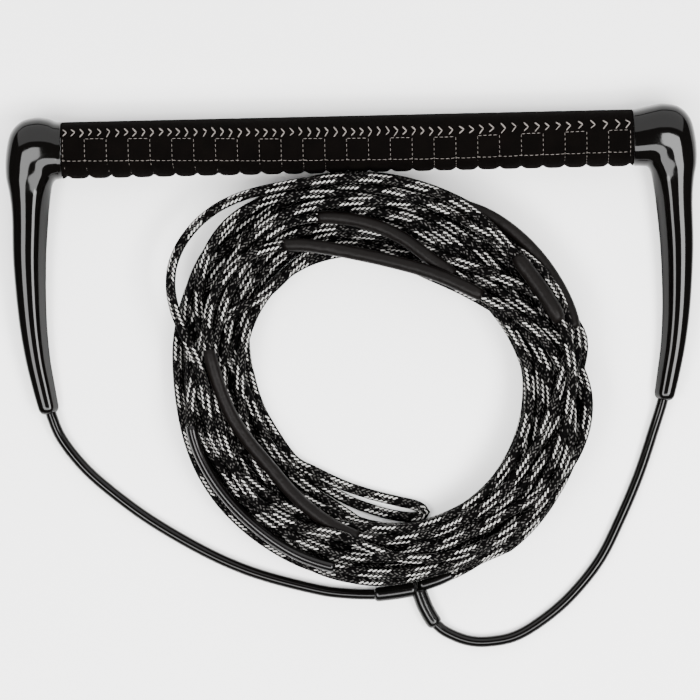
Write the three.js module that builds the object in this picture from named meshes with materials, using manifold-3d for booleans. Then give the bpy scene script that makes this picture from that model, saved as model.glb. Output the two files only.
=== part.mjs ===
// Wakeboard tow rope and handle, laid flat as it is stored: the coiled mainline lies inside the handle.
// Millimetres. X runs along the grip, Y from the rope hitch towards the grip, Z up from the floor.
// The origin is on the floor, under the middle of the handle's own box.
import * as THREE from "three";
import { mergeVertices } from "three/addons/utils/BufferGeometryUtils.js";
import Module from "manifold-3d";

const wasm = await Module();
wasm.setup();

// ---- Driving dimensions ----
const GAP = 0.3; // clearance left between pieces that touch

const GRIP_RADIUS = 15;
const GRIP_HALF_LENGTH = 156.2;
const GRIP_PADS = 26; // stuffed blocks sewn along the grip
const PAD_DIP = 0.8; // how far the seams between the blocks sink in
const HIDE_THICKNESS = 1.1;
const HIDE_BORE = GRIP_RADIUS - PAD_DIP - HIDE_THICKNESS;
const TUBE_RADIUS = 11.3;
const TUBE_WALL = 1.5;
const TUBE_HALF_LENGTH = 168;
const PLUG_LENGTH = 10;
const LINE_BORE = 1.9; // radius of the hole that the core line runs through
const ARM_BORE = 3; // wider, because the line bends in it

const BAR_Y = 63.5; // grip axis, forward of the origin
const ARM_DROP = 140; // grip axis to the centre of an arm's round tip
const TIP_X = 170.5;
const TIP_RADIUS = 5.7;
const TILT = Math.asin((GRIP_RADIUS - TIP_RADIUS) / ARM_DROP); // grip and arm tips all touch the floor

const CORE_RADIUS = 1.45; // bridle's inner line
const JACKET_RADIUS = 2.75; // plastic jacket over the bridle line
const JACKET_WALL = 1.0;
const YOKE_SLEEVE_RADIUS = 3.6;
const YOKE_SLEEVE_WALL = 1.0;
const HITCH = [29.8, -246, 4.5]; // where the mainline's eye hangs on the bridle
const HITCH_FAR_SIDE = [32.6, -246.6, 4.5];
const EYE_CORD_RADIUS = 1.2;
const EYE_SLACK = 0.4; // round the bridle line, inside the mainline's eye
const EYE_SLEEVE_RADIUS = 3.1;
const EYE_SLEEVE_BORE = 1.9;
const EYE_NECK = 6.1; // from the eye's middle into its sleeve

const ROPE_RADIUS = 3;
const SLEEVE_RADIUS = 3.9; // smooth sleeve shrunk over a splice of the mainline
const COIL = { x: 11.5, y: -129.5, outer: 116.2, inner: 76, height: 28, squash: 0.969 };
const COIL_HOLE_SHIFT = [5.2, -5.8]; // the turns lie thicker on the far left
const COIL_EDGE = 8; // how far the coil's flat top and underside stay back from its edges
const COIL_BULGE = 1.6; // how far its middle stands out beyond its shoulders

const ROUND_SIDES = 20; // facets round the grip, the bar and the arms
const CORD_SIDES = 8;

// An arm from the grip's end round the elbow to the tip, in the plane of the handle, measured from
// the middle of the grip: the section's outer point, its inner point, and its half thickness.
const ARM_SECTIONS = [
  { outer: [156.5, 15.1], inner: [156.5, -15.1], half: 14.9 },
  { outer: [164.5, 17.0], inner: [160.0, -15.5], half: 14.9 },
  { outer: [173.0, 18.1], inner: [162.0, -16.2], half: 14.8 },
  { outer: [181.5, 15.4], inner: [163.2, -17.0], half: 14.4 },
  { outer: [187.5, 8.5], inner: [164.0, -18.0], half: 13.7 },
  { outer: [190.5, -2.0], inner: [164.8, -20.0], half: 12.8 },
  { outer: [190.2, -13.5], inner: [165.4, -23.0], half: 11.6 },
  { outer: [188.4, -24.0], inner: [166.2, -28.0], half: 10.5 },
  { outer: [187.4, -36.0], inner: [167.4, -38.0], half: 9.7 },
  { outer: [187.4, -62.0], inner: [169.3, -62.0], half: 8.9 },
  { outer: [185.4, -92.0], inner: [169.8, -91.0], half: 7.8 },
  { outer: [182.2, -115.0], inner: [168.6, -113.5], half: 6.9 },
  { outer: [178.4, -132.0], inner: [166.2, -129.5], half: 6.1 },
];
// The core line from the grip's end down the arm to the tip, in the same plane.
const ARM_BEND = [
  [156, 0],
  [167, 0],
  [174.3, -3],
  [177.3, -10],
  [177.9, -24],
  [178.4, -60],
  [177.3, -96],
  [172.9, -128],
];
// Free routes lie on the floor, and are measured like the coil's centre, from the middle of the grip.
const LEFT_LEG = [
  [-168.6, -146.1, 5.6],
  [-163.3, -159.2, 4.2],
  [-152.1, -174.3, 3.0],
  [-139.2, -186.7, 2.9],
  [-119.1, -202.6, 2.9],
  [-96.9, -216.9, 2.9],
  [-74.5, -229.0, 2.9],
  [-52.7, -237.7, 2.9],
  [-23.6, -245.5, 2.9],
  [-8.3, -247.6, 3.2],
  [7.9, -248.3, 3.7],
];
const RIGHT_LEG = [
  [168.8, -146.2, 5.6],
  [164.1, -160.5, 4.2],
  [155.1, -186.0, 3.0],
  [143.6, -211.6, 2.9],
  [132.1, -233.1, 2.9],
  [116.2, -252.0, 2.9],
  [100.5, -265.0, 2.9],
  [84.8, -273.9, 2.9],
  [69.9, -276.6, 2.9],
  [59.0, -275.8, 3.0],
  [49.5, -271.8, 3.3],
  [42.8, -266.3, 3.7],
];
const LEFT_YOKE = [
  [8.3, -248.3, 3.7],
  [18.0, -247.5, 3.8],
  [27.6, -246.2, 4.2],
];
const RIGHT_YOKE = [
  [35.3, -251.6, 4.2],
  [38.2, -257.8, 3.9],
  [42.2, -265.2, 3.7],
];
const EYE_SLEEVE = [
  [36.2, -243.2, 4.4],
  [42.5, -241.8, 4.2],
  [49.0, -239.6, 4.0],
];
const LEAD = [
  [49.4, -239.5, 4.0],
  [58.0, -235.6, 3.8],
  [66.5, -230.7, 3.6],
];
const LOOSE_TURN = [
  [-43.5, -26.0, 3.4],
  [-64.5, -30.2, 3.1],
  [-84.1, -42.6, 3.1],
  [-98.3, -60.9, 3.1],
  [-104.5, -78.4, 3.1],
  [-107.0, -93.5, 3.4],
];
const TOW_EYE = [
  [-37.0, -173.0, 3.1],
  [-20.4, -182.6, 3.1],
  [-10.6, -187.2, 3.1],
  [10.4, -193.2, 3.1],
  [29.0, -194.2, 3.1],
  [36.2, -198.8, 3.1],
  [29.6, -203.2, 3.1],
  [10.4, -203.2, 3.1],
  [-6.0, -198.8, 3.1],
  [-19.0, -192.6, 3.1],
];
// Splice sleeves on the top of the coil.
const SECTION_SLEEVES = [
  [[-23.4, -38.5], [0.0, -45.0], [25.8, -52.5]],
  [[-39.7, -55.2], [-4.0, -56.5], [30.0, -61.5]],
  [[-84.0, -106.4], [-74.0, -148.0], [-55.0, -178.0], [-33.0, -197.5], [-8.0, -212.0]],
  [[51.2, -31.5], [80.0, -47.0], [99.0, -70.0], [115.5, -105.5]],
  [[83.0, -67.0], [96.0, -82.0], [104.0, -106.0]],
];

// ---- Shapes ----

const vector = ([x, y, z = 0]) => new THREE.Vector3(x, y, z);

// A geometry as a manifold solid, with its faces turned outwards.
function solidOf(geometry) {
  const plain = geometry.index ? geometry.toNonIndexed() : geometry.clone();
  plain.deleteAttribute("normal");
  plain.deleteAttribute("uv");
  const merged = mergeVertices(plain, 1e-4);
  const faces = new Uint32Array(merged.index.array);
  const solid = new wasm.Manifold(
    new wasm.Mesh({ numProp: 3, vertProperties: merged.attributes.position.array, triVerts: faces }),
  );
  if (solid.volume() > 0) return solid;
  for (let i = 0; i < faces.length; i += 3) faces.subarray(i + 1, i + 3).reverse();
  return new wasm.Manifold(
    new wasm.Mesh({ numProp: 3, vertProperties: merged.attributes.position.array, triVerts: faces }),
  );
}

function geometryOf(solid) {
  const mesh = solid.getMesh();
  const geometry = new THREE.BufferGeometry();
  geometry.setAttribute("position", new THREE.BufferAttribute(mesh.vertProperties, 3));
  geometry.setIndex(new THREE.BufferAttribute(mesh.triVerts, 1));
  return geometry;
}

const cut = (geometry, ...tools) =>
  geometryOf(tools.reduce((body, tool) => body.subtract(solidOf(tool)), solidOf(geometry)));

const join = (geometry, ...others) =>
  geometryOf(others.reduce((body, other) => body.add(solidOf(other)), solidOf(geometry)));

// A closed skin over rings of points, with a flat cap on the first ring and on the last.
function loft(rings) {
  const count = rings[0].length;
  const corners = [];
  const quad = (a, b, c, d) => corners.push(a, b, c, a, c, d);
  for (let i = 1; i < rings.length; i++) {
    for (let k = 0; k < count; k++) {
      const next = (k + 1) % count;
      quad(rings[i - 1][k], rings[i - 1][next], rings[i][next], rings[i][k]);
    }
  }
  for (let k = 1; k < count - 1; k++) {
    corners.push(rings[0][0], rings[0][k + 1], rings[0][k]);
    const last = rings.at(-1);
    corners.push(last[0], last[k], last[k + 1]);
  }
  return geometryOf(solidOf(new THREE.BufferGeometry().setFromPoints(corners)));
}

// A round tube along a smooth curve through the points, hollow if it has a bore.
function tube(points, radius, steps, { bore = 0, sides = 10 } = {}) {
  const ring = (r) =>
    Array.from({ length: sides }, (_, k) => {
      const turn = (2 * Math.PI * k) / sides;
      return new THREE.Vector2(r * Math.cos(turn), r * Math.sin(turn));
    });
  const section = new THREE.Shape(ring(radius));
  if (bore) section.holes.push(new THREE.Path(ring(bore)));
  const extrudePath = new THREE.CatmullRomCurve3(points.map(vector), false, "centripetal");
  return new THREE.ExtrudeGeometry(section, { steps, extrudePath, curveSegments: 1 });
}

// A round bar or pipe along X.
function pipe(halfLength, radius, bore) {
  const outline = [
    [bore, -halfLength],
    [radius, -halfLength],
    [radius, halfLength],
    [bore, halfLength],
    [bore, -halfLength],
  ];
  const profile = outline.map(([r, along]) => new THREE.Vector2(r, along));
  return geometryOf(solidOf(new THREE.LatheGeometry(profile, ROUND_SIDES).rotateZ(Math.PI / 2)));
}

// ---- Finishes ----

const finish = (color, roughness, metalness = 0) => ({ color, roughness, metalness });
const FINISH = {
  suede: finish(0x17130f, 0.95),
  moulding: finish(0x0b0a0a, 0.12),
  jacket: finish(0x0c0b0b, 0.15),
  sleeve: finish(0x121111, 0.35),
  rope: finish(0x3c3a38, 0.9),
  line: finish(0x8d8a84, 0.8),
  aluminium: finish(0xb4b6b8, 0.35, 1),
  foam: finish(0x4a4a4a, 0.9),
  plug: finish(0x202020, 0.5),
};

function piece(name, geometry, look) {
  const mesh = new THREE.Mesh(geometry, new THREE.MeshStandardMaterial(look));
  mesh.name = name;
  return mesh;
}

// ---- Handle ----

// One section of an arm: an oval between its outer and inner points.
function armRing({ outer, inner, half }, side) {
  const out = vector(outer);
  const centre = out.clone().add(vector(inner)).multiplyScalar(0.5);
  const reach = out.sub(centre);
  return Array.from({ length: ROUND_SIDES }, (_, k) => {
    const turn = (2 * Math.PI * k) / ROUND_SIDES;
    const point = centre.clone().addScaledVector(reach, Math.cos(turn));
    return new THREE.Vector3(side * point.x, point.y, half * Math.sin(turn));
  });
}

// The round tip, as slices of a ball across the arm's own direction.
function tipRings(side) {
  const along = new THREE.Vector2(-0.2, -1).normalize();
  const across = new THREE.Vector2(-along.y, along.x);
  return [0, 25, 50, 72].map((degrees) => {
    const angle = THREE.MathUtils.degToRad(degrees);
    const radius = TIP_RADIUS * Math.cos(angle);
    const middle = new THREE.Vector2(TIP_X, -ARM_DROP).addScaledVector(along, TIP_RADIUS * Math.sin(angle));
    const outer = middle.clone().addScaledVector(across, radius).toArray();
    const inner = middle.clone().addScaledVector(across, -radius).toArray();
    return armRing({ outer, inner, half: radius }, side);
  });
}

const lineBend = (side) => ARM_BEND.map(([x, y]) => [side * x, y, 0]);

// A moulded arm: hollow where the grip's tube is pushed in, and bored for the core line.
function arm(side) {
  const body = loft([...ARM_SECTIONS.map((section) => armRing(section, side)), ...tipRings(side)]);
  const socketEnd = TUBE_HALF_LENGTH + GAP;
  const socketStart = GRIP_HALF_LENGTH - 1;
  const radius = TUBE_RADIUS + GAP;
  const socket = new THREE.CylinderGeometry(radius, radius, socketEnd - socketStart, ROUND_SIDES)
    .rotateZ(Math.PI / 2)
    .translate((side * (socketEnd + socketStart)) / 2, 0, 0);
  const past = [side * (TIP_X - 3.5), -ARM_DROP - 12, 0];
  const bore = tube([...lineBend(side), [side * TIP_X, -ARM_DROP, 0], past], ARM_BORE, 26);
  return cut(body, socket, bore);
}

// The stitched outer cover, a row of stuffed blocks round the whole grip.
function gripHide() {
  const pitch = (2 * GRIP_HALF_LENGTH) / GRIP_PADS;
  const profile = [[GRIP_RADIUS - PAD_DIP, -GRIP_HALF_LENGTH]];
  for (let pad = 0; pad < GRIP_PADS; pad++) {
    const start = -GRIP_HALF_LENGTH + pad * pitch;
    profile.push([GRIP_RADIUS, start + 0.3 * pitch]);
    profile.push([GRIP_RADIUS, start + 0.7 * pitch]);
    profile.push([GRIP_RADIUS - PAD_DIP, start + pitch]);
  }
  profile.push([HIDE_BORE, GRIP_HALF_LENGTH], [HIDE_BORE, -GRIP_HALF_LENGTH], profile[0]);
  const points = profile.map(([r, along]) => new THREE.Vector2(r, along));
  return geometryOf(solidOf(new THREE.LatheGeometry(points, ROUND_SIDES).rotateZ(Math.PI / 2)));
}

function handle() {
  const group = new THREE.Group();
  const inside = TUBE_RADIUS - TUBE_WALL - GAP;
  const plugMiddle = TUBE_HALF_LENGTH - PLUG_LENGTH / 2;
  const plug = (side) => pipe(PLUG_LENGTH / 2, inside, LINE_BORE).translate(side * plugMiddle, 0, 0);
  const floatHalf = TUBE_HALF_LENGTH - PLUG_LENGTH - GAP;
  const lineStart = [[-TIP_X, -ARM_DROP, 0], ...lineBend(-1).reverse()];
  const lineEnd = [...lineBend(1), [TIP_X, -ARM_DROP, 0]];
  group.add(
    piece("grip_hide", gripHide(), FINISH.suede),
    piece("grip_pad", pipe(GRIP_HALF_LENGTH, HIDE_BORE - GAP, TUBE_RADIUS + GAP), FINISH.foam),
    piece("bar_tube", pipe(TUBE_HALF_LENGTH, TUBE_RADIUS, TUBE_RADIUS - TUBE_WALL), FINISH.aluminium),
    piece("float_core", pipe(floatHalf, inside, LINE_BORE), FINISH.foam),
    piece("left_end_plug", plug(-1), FINISH.plug),
    piece("right_end_plug", plug(1), FINISH.plug),
    piece("core_line", tube([...lineStart, ...lineEnd], CORE_RADIUS, 90, { sides: CORD_SIDES }), FINISH.line),
    piece("left_arm", arm(-1), FINISH.moulding),
    piece("right_arm", arm(1), FINISH.moulding),
  );
  group.position.set(0, BAR_Y, GRIP_RADIUS);
  group.rotation.x = TILT;
  return group;
}

// ---- Bridle ----

function bridle() {
  const group = new THREE.Group();
  const jacket = (route) => tube(route, JACKET_RADIUS, 22, { bore: JACKET_RADIUS - JACKET_WALL });
  const core = (route) => tube(route, CORE_RADIUS, 22, { sides: CORD_SIDES });
  const sleeveBore = YOKE_SLEEVE_RADIUS - YOKE_SLEEVE_WALL;
  const sleeve = (route) => tube(route, YOKE_SLEEVE_RADIUS, 5, { bore: sleeveBore });
  const link = [...LEFT_YOKE, HITCH, HITCH_FAR_SIDE, ...RIGHT_YOKE];
  group.add(
    piece("left_bridle_jacket", jacket(LEFT_LEG), FINISH.jacket),
    piece("left_bridle_core", core(LEFT_LEG), FINISH.line),
    piece("right_bridle_jacket", jacket(RIGHT_LEG), FINISH.jacket),
    piece("right_bridle_core", core(RIGHT_LEG), FINISH.line),
    piece("left_yoke_sleeve", sleeve(LEFT_YOKE), FINISH.sleeve),
    piece("right_yoke_sleeve", sleeve(RIGHT_YOKE), FINISH.sleeve),
    piece("bridle_link", tube(link, CORE_RADIUS, 22, { sides: CORD_SIDES }), FINISH.line),
  );
  group.position.y = BAR_Y;
  return group;
}

// ---- Mainline ----

// The coil's outer shape, an oval ring with rounded edges and a flat underside, its hole off centre.
function coil() {
  const { outer, inner, height } = COIL;
  const shoulder = 0.18 * height;
  const profile = [
    [inner + COIL_EDGE, 0],
    [outer - COIL_EDGE, 0],
    [outer - COIL_BULGE, shoulder],
    [outer, height / 2],
    [outer - COIL_BULGE, height - shoulder],
    [outer - COIL_EDGE, height],
    [inner + COIL_EDGE, height],
    [inner + COIL_BULGE, height - shoulder],
    [inner, height / 2],
    [inner + COIL_BULGE, shoulder],
    [inner + COIL_EDGE, 0],
  ].map(([r, z]) => new THREE.Vector2(r, z));
  const ring = new THREE.LatheGeometry(profile, 48).rotateX(Math.PI / 2);
  const points = ring.getAttribute("position");
  for (let i = 0; i < points.count; i++) {
    const [x, y] = [points.getX(i), points.getY(i)];
    const inward = (outer - Math.hypot(x, y)) / (outer - inner);
    points.setXY(i, x + inward * COIL_HOLE_SHIFT[0], y + inward * COIL_HOLE_SHIFT[1]);
  }
  return geometryOf(solidOf(ring.scale(1, COIL.squash, 1).translate(COIL.x, COIL.y, 0)));
}

// The mainline's small eye: a ring round the bridle line, with a neck into its sleeve.
function mainlineEye() {
  const radius = CORE_RADIUS + EYE_SLACK + EYE_CORD_RADIUS;
  const ring = new THREE.TorusGeometry(radius, EYE_CORD_RADIUS, CORD_SIDES, 16).rotateY(Math.PI / 2);
  const start = [0, radius, 0];
  const middle = [0.43 * EYE_NECK, radius + 0.2, 0];
  const end = [EYE_NECK, radius - 0.2, -0.1];
  const neck = tube([start, middle, end], EYE_CORD_RADIUS, 3);
  return join(ring, neck).translate(...HITCH);
}

function mainline() {
  const group = new THREE.Group();
  const sleeveHeight = COIL.height + GAP + SLEEVE_RADIUS;
  const rope = (route, steps) => tube(route, ROPE_RADIUS, steps);
  group.add(
    piece("mainline_eye", mainlineEye(), FINISH.line),
    piece("eye_sleeve", tube(EYE_SLEEVE, EYE_SLEEVE_RADIUS, 4, { bore: EYE_SLEEVE_BORE }), FINISH.sleeve),
    piece("mainline_lead", rope(LEAD, 4), FINISH.rope),
    piece("rope_coil", coil(), FINISH.rope),
    piece("loose_turn", rope(LOOSE_TURN, 9), FINISH.rope),
    piece("tow_eye", rope(TOW_EYE, 20), FINISH.rope),
  );
  SECTION_SLEEVES.forEach((route, i) => {
    const points = route.map(([x, y]) => [x, y, sleeveHeight]);
    group.add(piece(`section_sleeve_${i + 1}`, tube(points, SLEEVE_RADIUS, 3 * route.length), FINISH.sleeve));
  });
  group.position.y = BAR_Y;
  return group;
}

const towRope = new THREE.Group();
towRope.add(handle(), bridle(), mainline());

export default towRope;
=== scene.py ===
"""Wakeboard tow rope and handle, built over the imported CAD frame.

Sizes, tables and routes are in mm, apart from the camera's and the lights'. They are turned into
metres where a mesh is made."""

import math

import bpy
import numpy as np
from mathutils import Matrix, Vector
from mathutils.kdtree import KDTree


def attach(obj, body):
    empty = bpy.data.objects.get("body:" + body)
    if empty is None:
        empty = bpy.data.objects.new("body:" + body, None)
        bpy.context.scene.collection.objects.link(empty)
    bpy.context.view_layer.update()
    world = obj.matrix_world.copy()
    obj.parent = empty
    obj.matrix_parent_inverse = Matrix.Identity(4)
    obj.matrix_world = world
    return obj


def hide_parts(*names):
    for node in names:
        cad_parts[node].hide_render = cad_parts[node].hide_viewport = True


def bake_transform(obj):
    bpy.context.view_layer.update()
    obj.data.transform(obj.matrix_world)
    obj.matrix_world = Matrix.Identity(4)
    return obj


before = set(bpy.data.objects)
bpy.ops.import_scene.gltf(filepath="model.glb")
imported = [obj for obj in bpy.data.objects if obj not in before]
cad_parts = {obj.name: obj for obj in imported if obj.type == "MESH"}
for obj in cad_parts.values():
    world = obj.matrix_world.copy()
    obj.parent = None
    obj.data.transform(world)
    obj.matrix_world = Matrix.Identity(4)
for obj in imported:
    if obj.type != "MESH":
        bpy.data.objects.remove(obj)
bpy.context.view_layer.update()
MM = 0.001

# ---- Dimensions, as in the CAD source ----

BAR_Y = 63.5
GRIP_RADIUS = 15.0
BLOCKS = 26
ARM_DROP = 140.0
TIP_X = 170.5
TIP_RADIUS = 5.7
TILT = math.asin((GRIP_RADIUS - TIP_RADIUS) / ARM_DROP)  # grip and arm tips all touch the floor
ROPE = 6.0
JACKET = 5.5
HITCH = (29.8, -246.0, 4.5)  # where the mainline hangs on the bridle: x, y from the grip's axis, z
LINK_RADIUS = 1.45
EYE_CORD_RADIUS = 1.2
EYE_SLACK = 0.4  # round the link, inside the mainline's eye
EYE_RADIUS = LINK_RADIUS + EYE_SLACK + EYE_CORD_RADIUS

# ---- Dimensions of the visual model only ----

GRIP_ENDS = {-1: 159.2, 1: 155.4}  # how far the cover reaches on each side
BEND_REACH = 5.0  # two points this far before and after the middle of an arm's tip are worked out for each leg, and not used
JACKET_SWELL = 0.3  # added to a jacket's radius
ROPE_SQUASH = 0.2  # taken off the rope's radius, because its turns press on each other
TOW_EYE_SQUASH = 0.1
SLEEVE_LIP = 0.15  # how far the end of a rope sleeve stands out from the rope

# Arm sections: outer point, inner point, half thickness, how much of the bevelled profile they have.
ARM_SECTIONS = [
    (156.5, 15.3, 156.5, -15.9, 14.9, 0.0),
    (160.5, 15.6, 158.2, -16.1, 14.9, 0.0),
    (166.5, 17.4, 160.8, -16.2, 14.9, 0.0),
    (173.0, 18.1, 162.3, -16.4, 14.8, 0.0),
    (181.2, 16.0, 163.2, -17.0, 14.4, 0.05),
    (187.2, 9.4, 164.0, -18.0, 13.7, 0.12),
    (189.9, -2.0, 164.8, -20.0, 12.8, 0.25),
    (190.2, -13.5, 165.4, -23.0, 11.6, 0.5),
    (188.4, -24.0, 166.2, -28.0, 10.5, 0.8),
    (187.4, -36.0, 167.4, -38.0, 9.7, 1.0),
    (187.4, -62.0, 169.3, -62.0, 8.9, 1.0),
    (185.4, -92.0, 169.8, -91.0, 7.8, 1.0),
    (182.2, -115.0, 168.6, -113.5, 6.9, 1.0),
    (178.3, -133.0, 166.2, -130.5, 6.1, 0.95),
    (176.0, -142.0, 164.7, -140.2, 5.7, 0.9),
]
# The arm's upper half from its outer to its inner edge: a steep outer side, a round top and a long
# bevel inside.
ARM_PROFILE = [
    (1, 0), (0.995, 0.46), (0.92, 0.72), (0.66, 0.88), (0.38, 0.975), (0.12, 1), (-0.12, 0.97),
    (-0.32, 0.9), (-0.44, 0.79), (-0.94, 0.07), (-1, 0),
]
# Routes of the cords and sleeves: x, y from the grip's axis, z.
LEFT_LEG = [
    (-168.6, -146.1, 5.6), (-163.3, -159.2, 4.2), (-152.1, -174.3, 3.0), (-139.2, -186.7, 2.9),
    (-119.1, -202.6, 2.9), (-96.9, -216.9, 2.9), (-74.5, -229.0, 2.9), (-52.7, -237.7, 2.9),
    (-23.6, -245.8, 2.9), (-8.3, -248.2, 3.2), (7.9, -249.0, 3.8), (18.0, -248.1, 4.0),
]
RIGHT_LEG = [
    (168.8, -146.2, 5.6), (164.1, -160.5, 4.2), (155.1, -186.0, 3.0), (143.6, -211.6, 2.9),
    (132.1, -233.1, 2.9), (116.2, -252.0, 2.9), (100.5, -265.0, 2.9), (84.8, -273.9, 2.9),
    (69.9, -276.6, 2.9), (59.0, -275.8, 3.0), (49.5, -272.2, 3.3), (42.6, -267.6, 3.7),
    (36.6, -259.4, 4.1),
]
LEFT_YOKE = [(7.4, -249.1, 4.4), (18.0, -248.1, 4.5), (31.0, -246.3, 4.8)]
RIGHT_YOKE = [
    (31.4, -245.2, 4.6), (33.0, -250.2, 4.6), (35.2, -256.2, 4.5), (38.3, -262.3, 4.4),
    (41.2, -266.6, 4.3),
]
EYE_SLEEVE = [(31.8, -244.9, 4.6), (42.5, -241.8, 4.2), (50.5, -238.9, 4.0)]
LEAD = [(40.0, -242.6, 4.3), (49.4, -239.5, 4.0), (58.0, -235.6, 3.8), (66.5, -230.7, 3.6)]
LINK = [(24.0, -246.8, 4.2), HITCH, (32.6, -246.6, 4.5), (34.4, -249.0, 4.4), (36.2, -252.8, 4.2)]
TOW_EYE = [
    (-36.5, -172.6, 4.2), (-24.3, -180.3, 3.3), (-9.0, -188.0, 3.1), (6.4, -193.7, 3.1),
    (21.7, -197.9, 3.1), (31.7, -200.5, 3.1), (36.4, -204.0, 3.1), (33.2, -206.8, 3.1),
    (25.4, -206.6, 3.1), (13.9, -204.2, 3.1), (-1.5, -198.8, 3.1), (-12.2, -193.1, 3.1),
    (-21.3, -187.2, 3.2), (-36.6, -177.9, 4.0), (-48.7, -167.1, 5.5), (-59.0, -155.2, 8.0),
    (-66.7, -140.5, 12.0),
]

# The coil, about its own middle: radii of its outer and inner edges every 30 degrees from +X.
COIL_MIDDLE = (11.5, BAR_Y - 129.5)
OUTER = [115.5, 113.5, 110.0, 113.5, 120.0, 120.0, 112.0, 113.0, 112.5, 115.0, 117.0, 120.0]
INNER = [79.5, 71.0, 60.0, 63.0, 72.0, 73.5, 71.0, 66.5, 70.0, 79.5, 83.0, 82.5]
TURNS = 28.73
STATIONS = 120  # in each turn
FIRST_DEGREE = -62.0  # where the lead comes in
# Upper turns that take a known way: turns before the end, how far they are lifted in the pile,
# (degrees, radius).
GUIDES = [
    (0, 0.1, [(8, 109.5), (16, 110), (24, 111), (31, 109.5), (40, 105)]),
    (0, -0.5, [(150, 78), (160, 77), (170, 73), (180, 69.3), (190, 67), (201, 65.2)]),
    (1, 0.35, [(23, 80.4), (31, 75.3), (39, 71.5), (46, 68.2), (54, 66.3), (62, 64.8), (69, 63.6),
               (78, 63.5), (90, 65.3), (104, 71), (115, 79.8), (124, 90.6), (138, 101), (158, 101),
               (167, 95.1), (179, 87.6), (198, 80.5), (217, 74.7), (240, 79.9), (254, 85),
               (264, 90.5)]),
    (2, 0.62, [(248, 86), (254, 85), (259, 86.5), (266, 92)]),
    (2, 0.3, [(40, 74), (49, 70.8), (58, 69.8), (67, 71), (79, 79), (88, 82.7), (95, 86.5),
              (103, 90.9), (111, 96.3), (125, 103)]),
    (3, 0.45, [(2, 108), (16, 105.6), (28.6, 100.5), (41.7, 100.2), (60, 106), (80, 108),
               (92, 109.3), (116.4, 115.1), (126, 125.6), (133, 129.9), (142, 131.3), (149, 130.6),
               (154.6, 127), (160.3, 118.6), (164.8, 107.8), (171.8, 97), (182, 88)]),
    (4, 0.12, [(0, 111), (13, 112), (30.7, 111.4), (44, 110), (53.8, 108.6), (65.7, 107)]),
    (4, 0.0, [(186, 106), (200, 106.5), (215, 105.5), (230, 104.8), (246, 106.8), (262, 106)]),
    (5, 0.1, [(28, 74), (40, 69), (50, 65), (60, 62.6), (70, 62.8), (80, 66), (90, 70.5),
              (100, 76), (110, 79), (120, 78), (130, 75), (140, 74), (150, 77)]),
    (6, 0.1, [(2, 110), (7, 117.5), (10.5, 123), (14, 117.5), (19, 110)]),
    (7, 0.2, [(-32, 116), (-20, 118), (-9, 119.3), (0, 115), (5, 111)]),
    (9, 0.15, [(252, 110.5), (262, 111.7), (274, 112), (284, 110.8)]),
    (8, 0.1, [(118, 116), (127, 119.5), (137, 119.5), (147, 115.5)]),
    (10, 0.0, [(178, 73), (189, 70), (200, 69.5), (212, 70), (226, 71), (240, 71.5), (252, 73.5),
               (262, 78)]),
]
# Smooth sleeves over the rope: turns before the end, first and last degree, radius.
SLEEVES = [
    (1, 36, 127, 3.7), (1, 168, 265, 3.7), (2, 50, 111, 3.7), (3, 15, 42, 4.4), (4, 12, 66, 3.6),
    (4, 190, 258, 3.1),
]
CAD_SLEEVES = 5  # the CAD has the first five of them


# ---- Camera, in metres ----

CAMERA_PLACE = (-0.003, -0.0502, 2.6)
CAMERA_TURN = -1.3  # degrees
SENSOR = 36
VIEW_WIDTH = 0.3857  # across the picture at VIEW_LEVEL above the floor
VIEW_LEVEL = 0.012


def make_camera():
    data = bpy.data.cameras.new("camera")
    cam = bpy.data.objects.new("camera", data)
    bpy.context.collection.objects.link(cam)
    data.sensor_width = SENSOR
    data.lens = SENSOR * (CAMERA_PLACE[2] - VIEW_LEVEL) / VIEW_WIDTH
    cam.location = CAMERA_PLACE
    cam.rotation_euler = (0, 0, math.radians(CAMERA_TURN))
    data.clip_start, data.clip_end = 0.1, 20
    bpy.context.scene.camera = cam


make_camera()


# ---- Mesh helpers ----

def curve_between(a, b, c, d, t):
    """The Catmull-Rom curve from b, where t is 0, to c, where t is 1."""
    square = (2 * a - 5 * b + 4 * c - d) * t ** 2
    cube = (3 * b - a - 3 * c + d) * t ** 3
    return 0.5 * (2 * b + (c - a) * t + square + cube)


def catmull(points, per):
    """A smooth line through the points, with per steps between two of them."""
    p = np.array(points, float)
    p = np.vstack([2 * p[0] - p[1], p, 2 * p[-1] - p[-2]])
    out = []
    for i in range(1, len(p) - 2):
        out += [curve_between(*p[i - 1:i + 3], k / per) for k in range(per)]
    out.append(p[-2])
    return np.array(out)


def look_up(table, at):
    """The value of a table of (place, value) at a place, straight between its rows."""
    return np.interp(at, [row[0] for row in table], [row[1] for row in table])


def steps_of(points):
    """The distance from each point to the next."""
    return np.linalg.norm(np.diff(points, axis=0), axis=1)


def places_of(points):
    """How far along the line each of its points lies."""
    return np.r_[0, np.cumsum(steps_of(points))]


def resample(points, step):
    """The same line with evenly spaced points."""
    place = places_of(points)
    at = np.linspace(0, place[-1], max(2, int(round(place[-1] / step)) + 1))
    return np.stack([np.interp(at, place, points[:, i]) for i in range(3)], 1)


def relax(lines, share, passes):
    """Moves the inner values of each line towards the mean of their neighbours, in place."""
    for _ in range(passes):
        for line in lines:
            line[1:-1] += share * ((line[:-2] + line[2:]) / 2 - line[1:-1])


def frames(points):
    """Unit tangent, and two normals that don't twist, at each point."""
    t = np.gradient(points, axis=0)
    t /= np.linalg.norm(t, axis=1)[:, None]
    n = np.zeros_like(t)
    first = np.cross(t[0], (0, 0, 1.0))
    n[0] = first / np.linalg.norm(first)
    for i in range(1, len(t)):
        v = n[i - 1] - t[i] * np.dot(n[i - 1], t[i])
        n[i] = v / np.linalg.norm(v)
    return t, n, np.cross(t, n)


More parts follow.
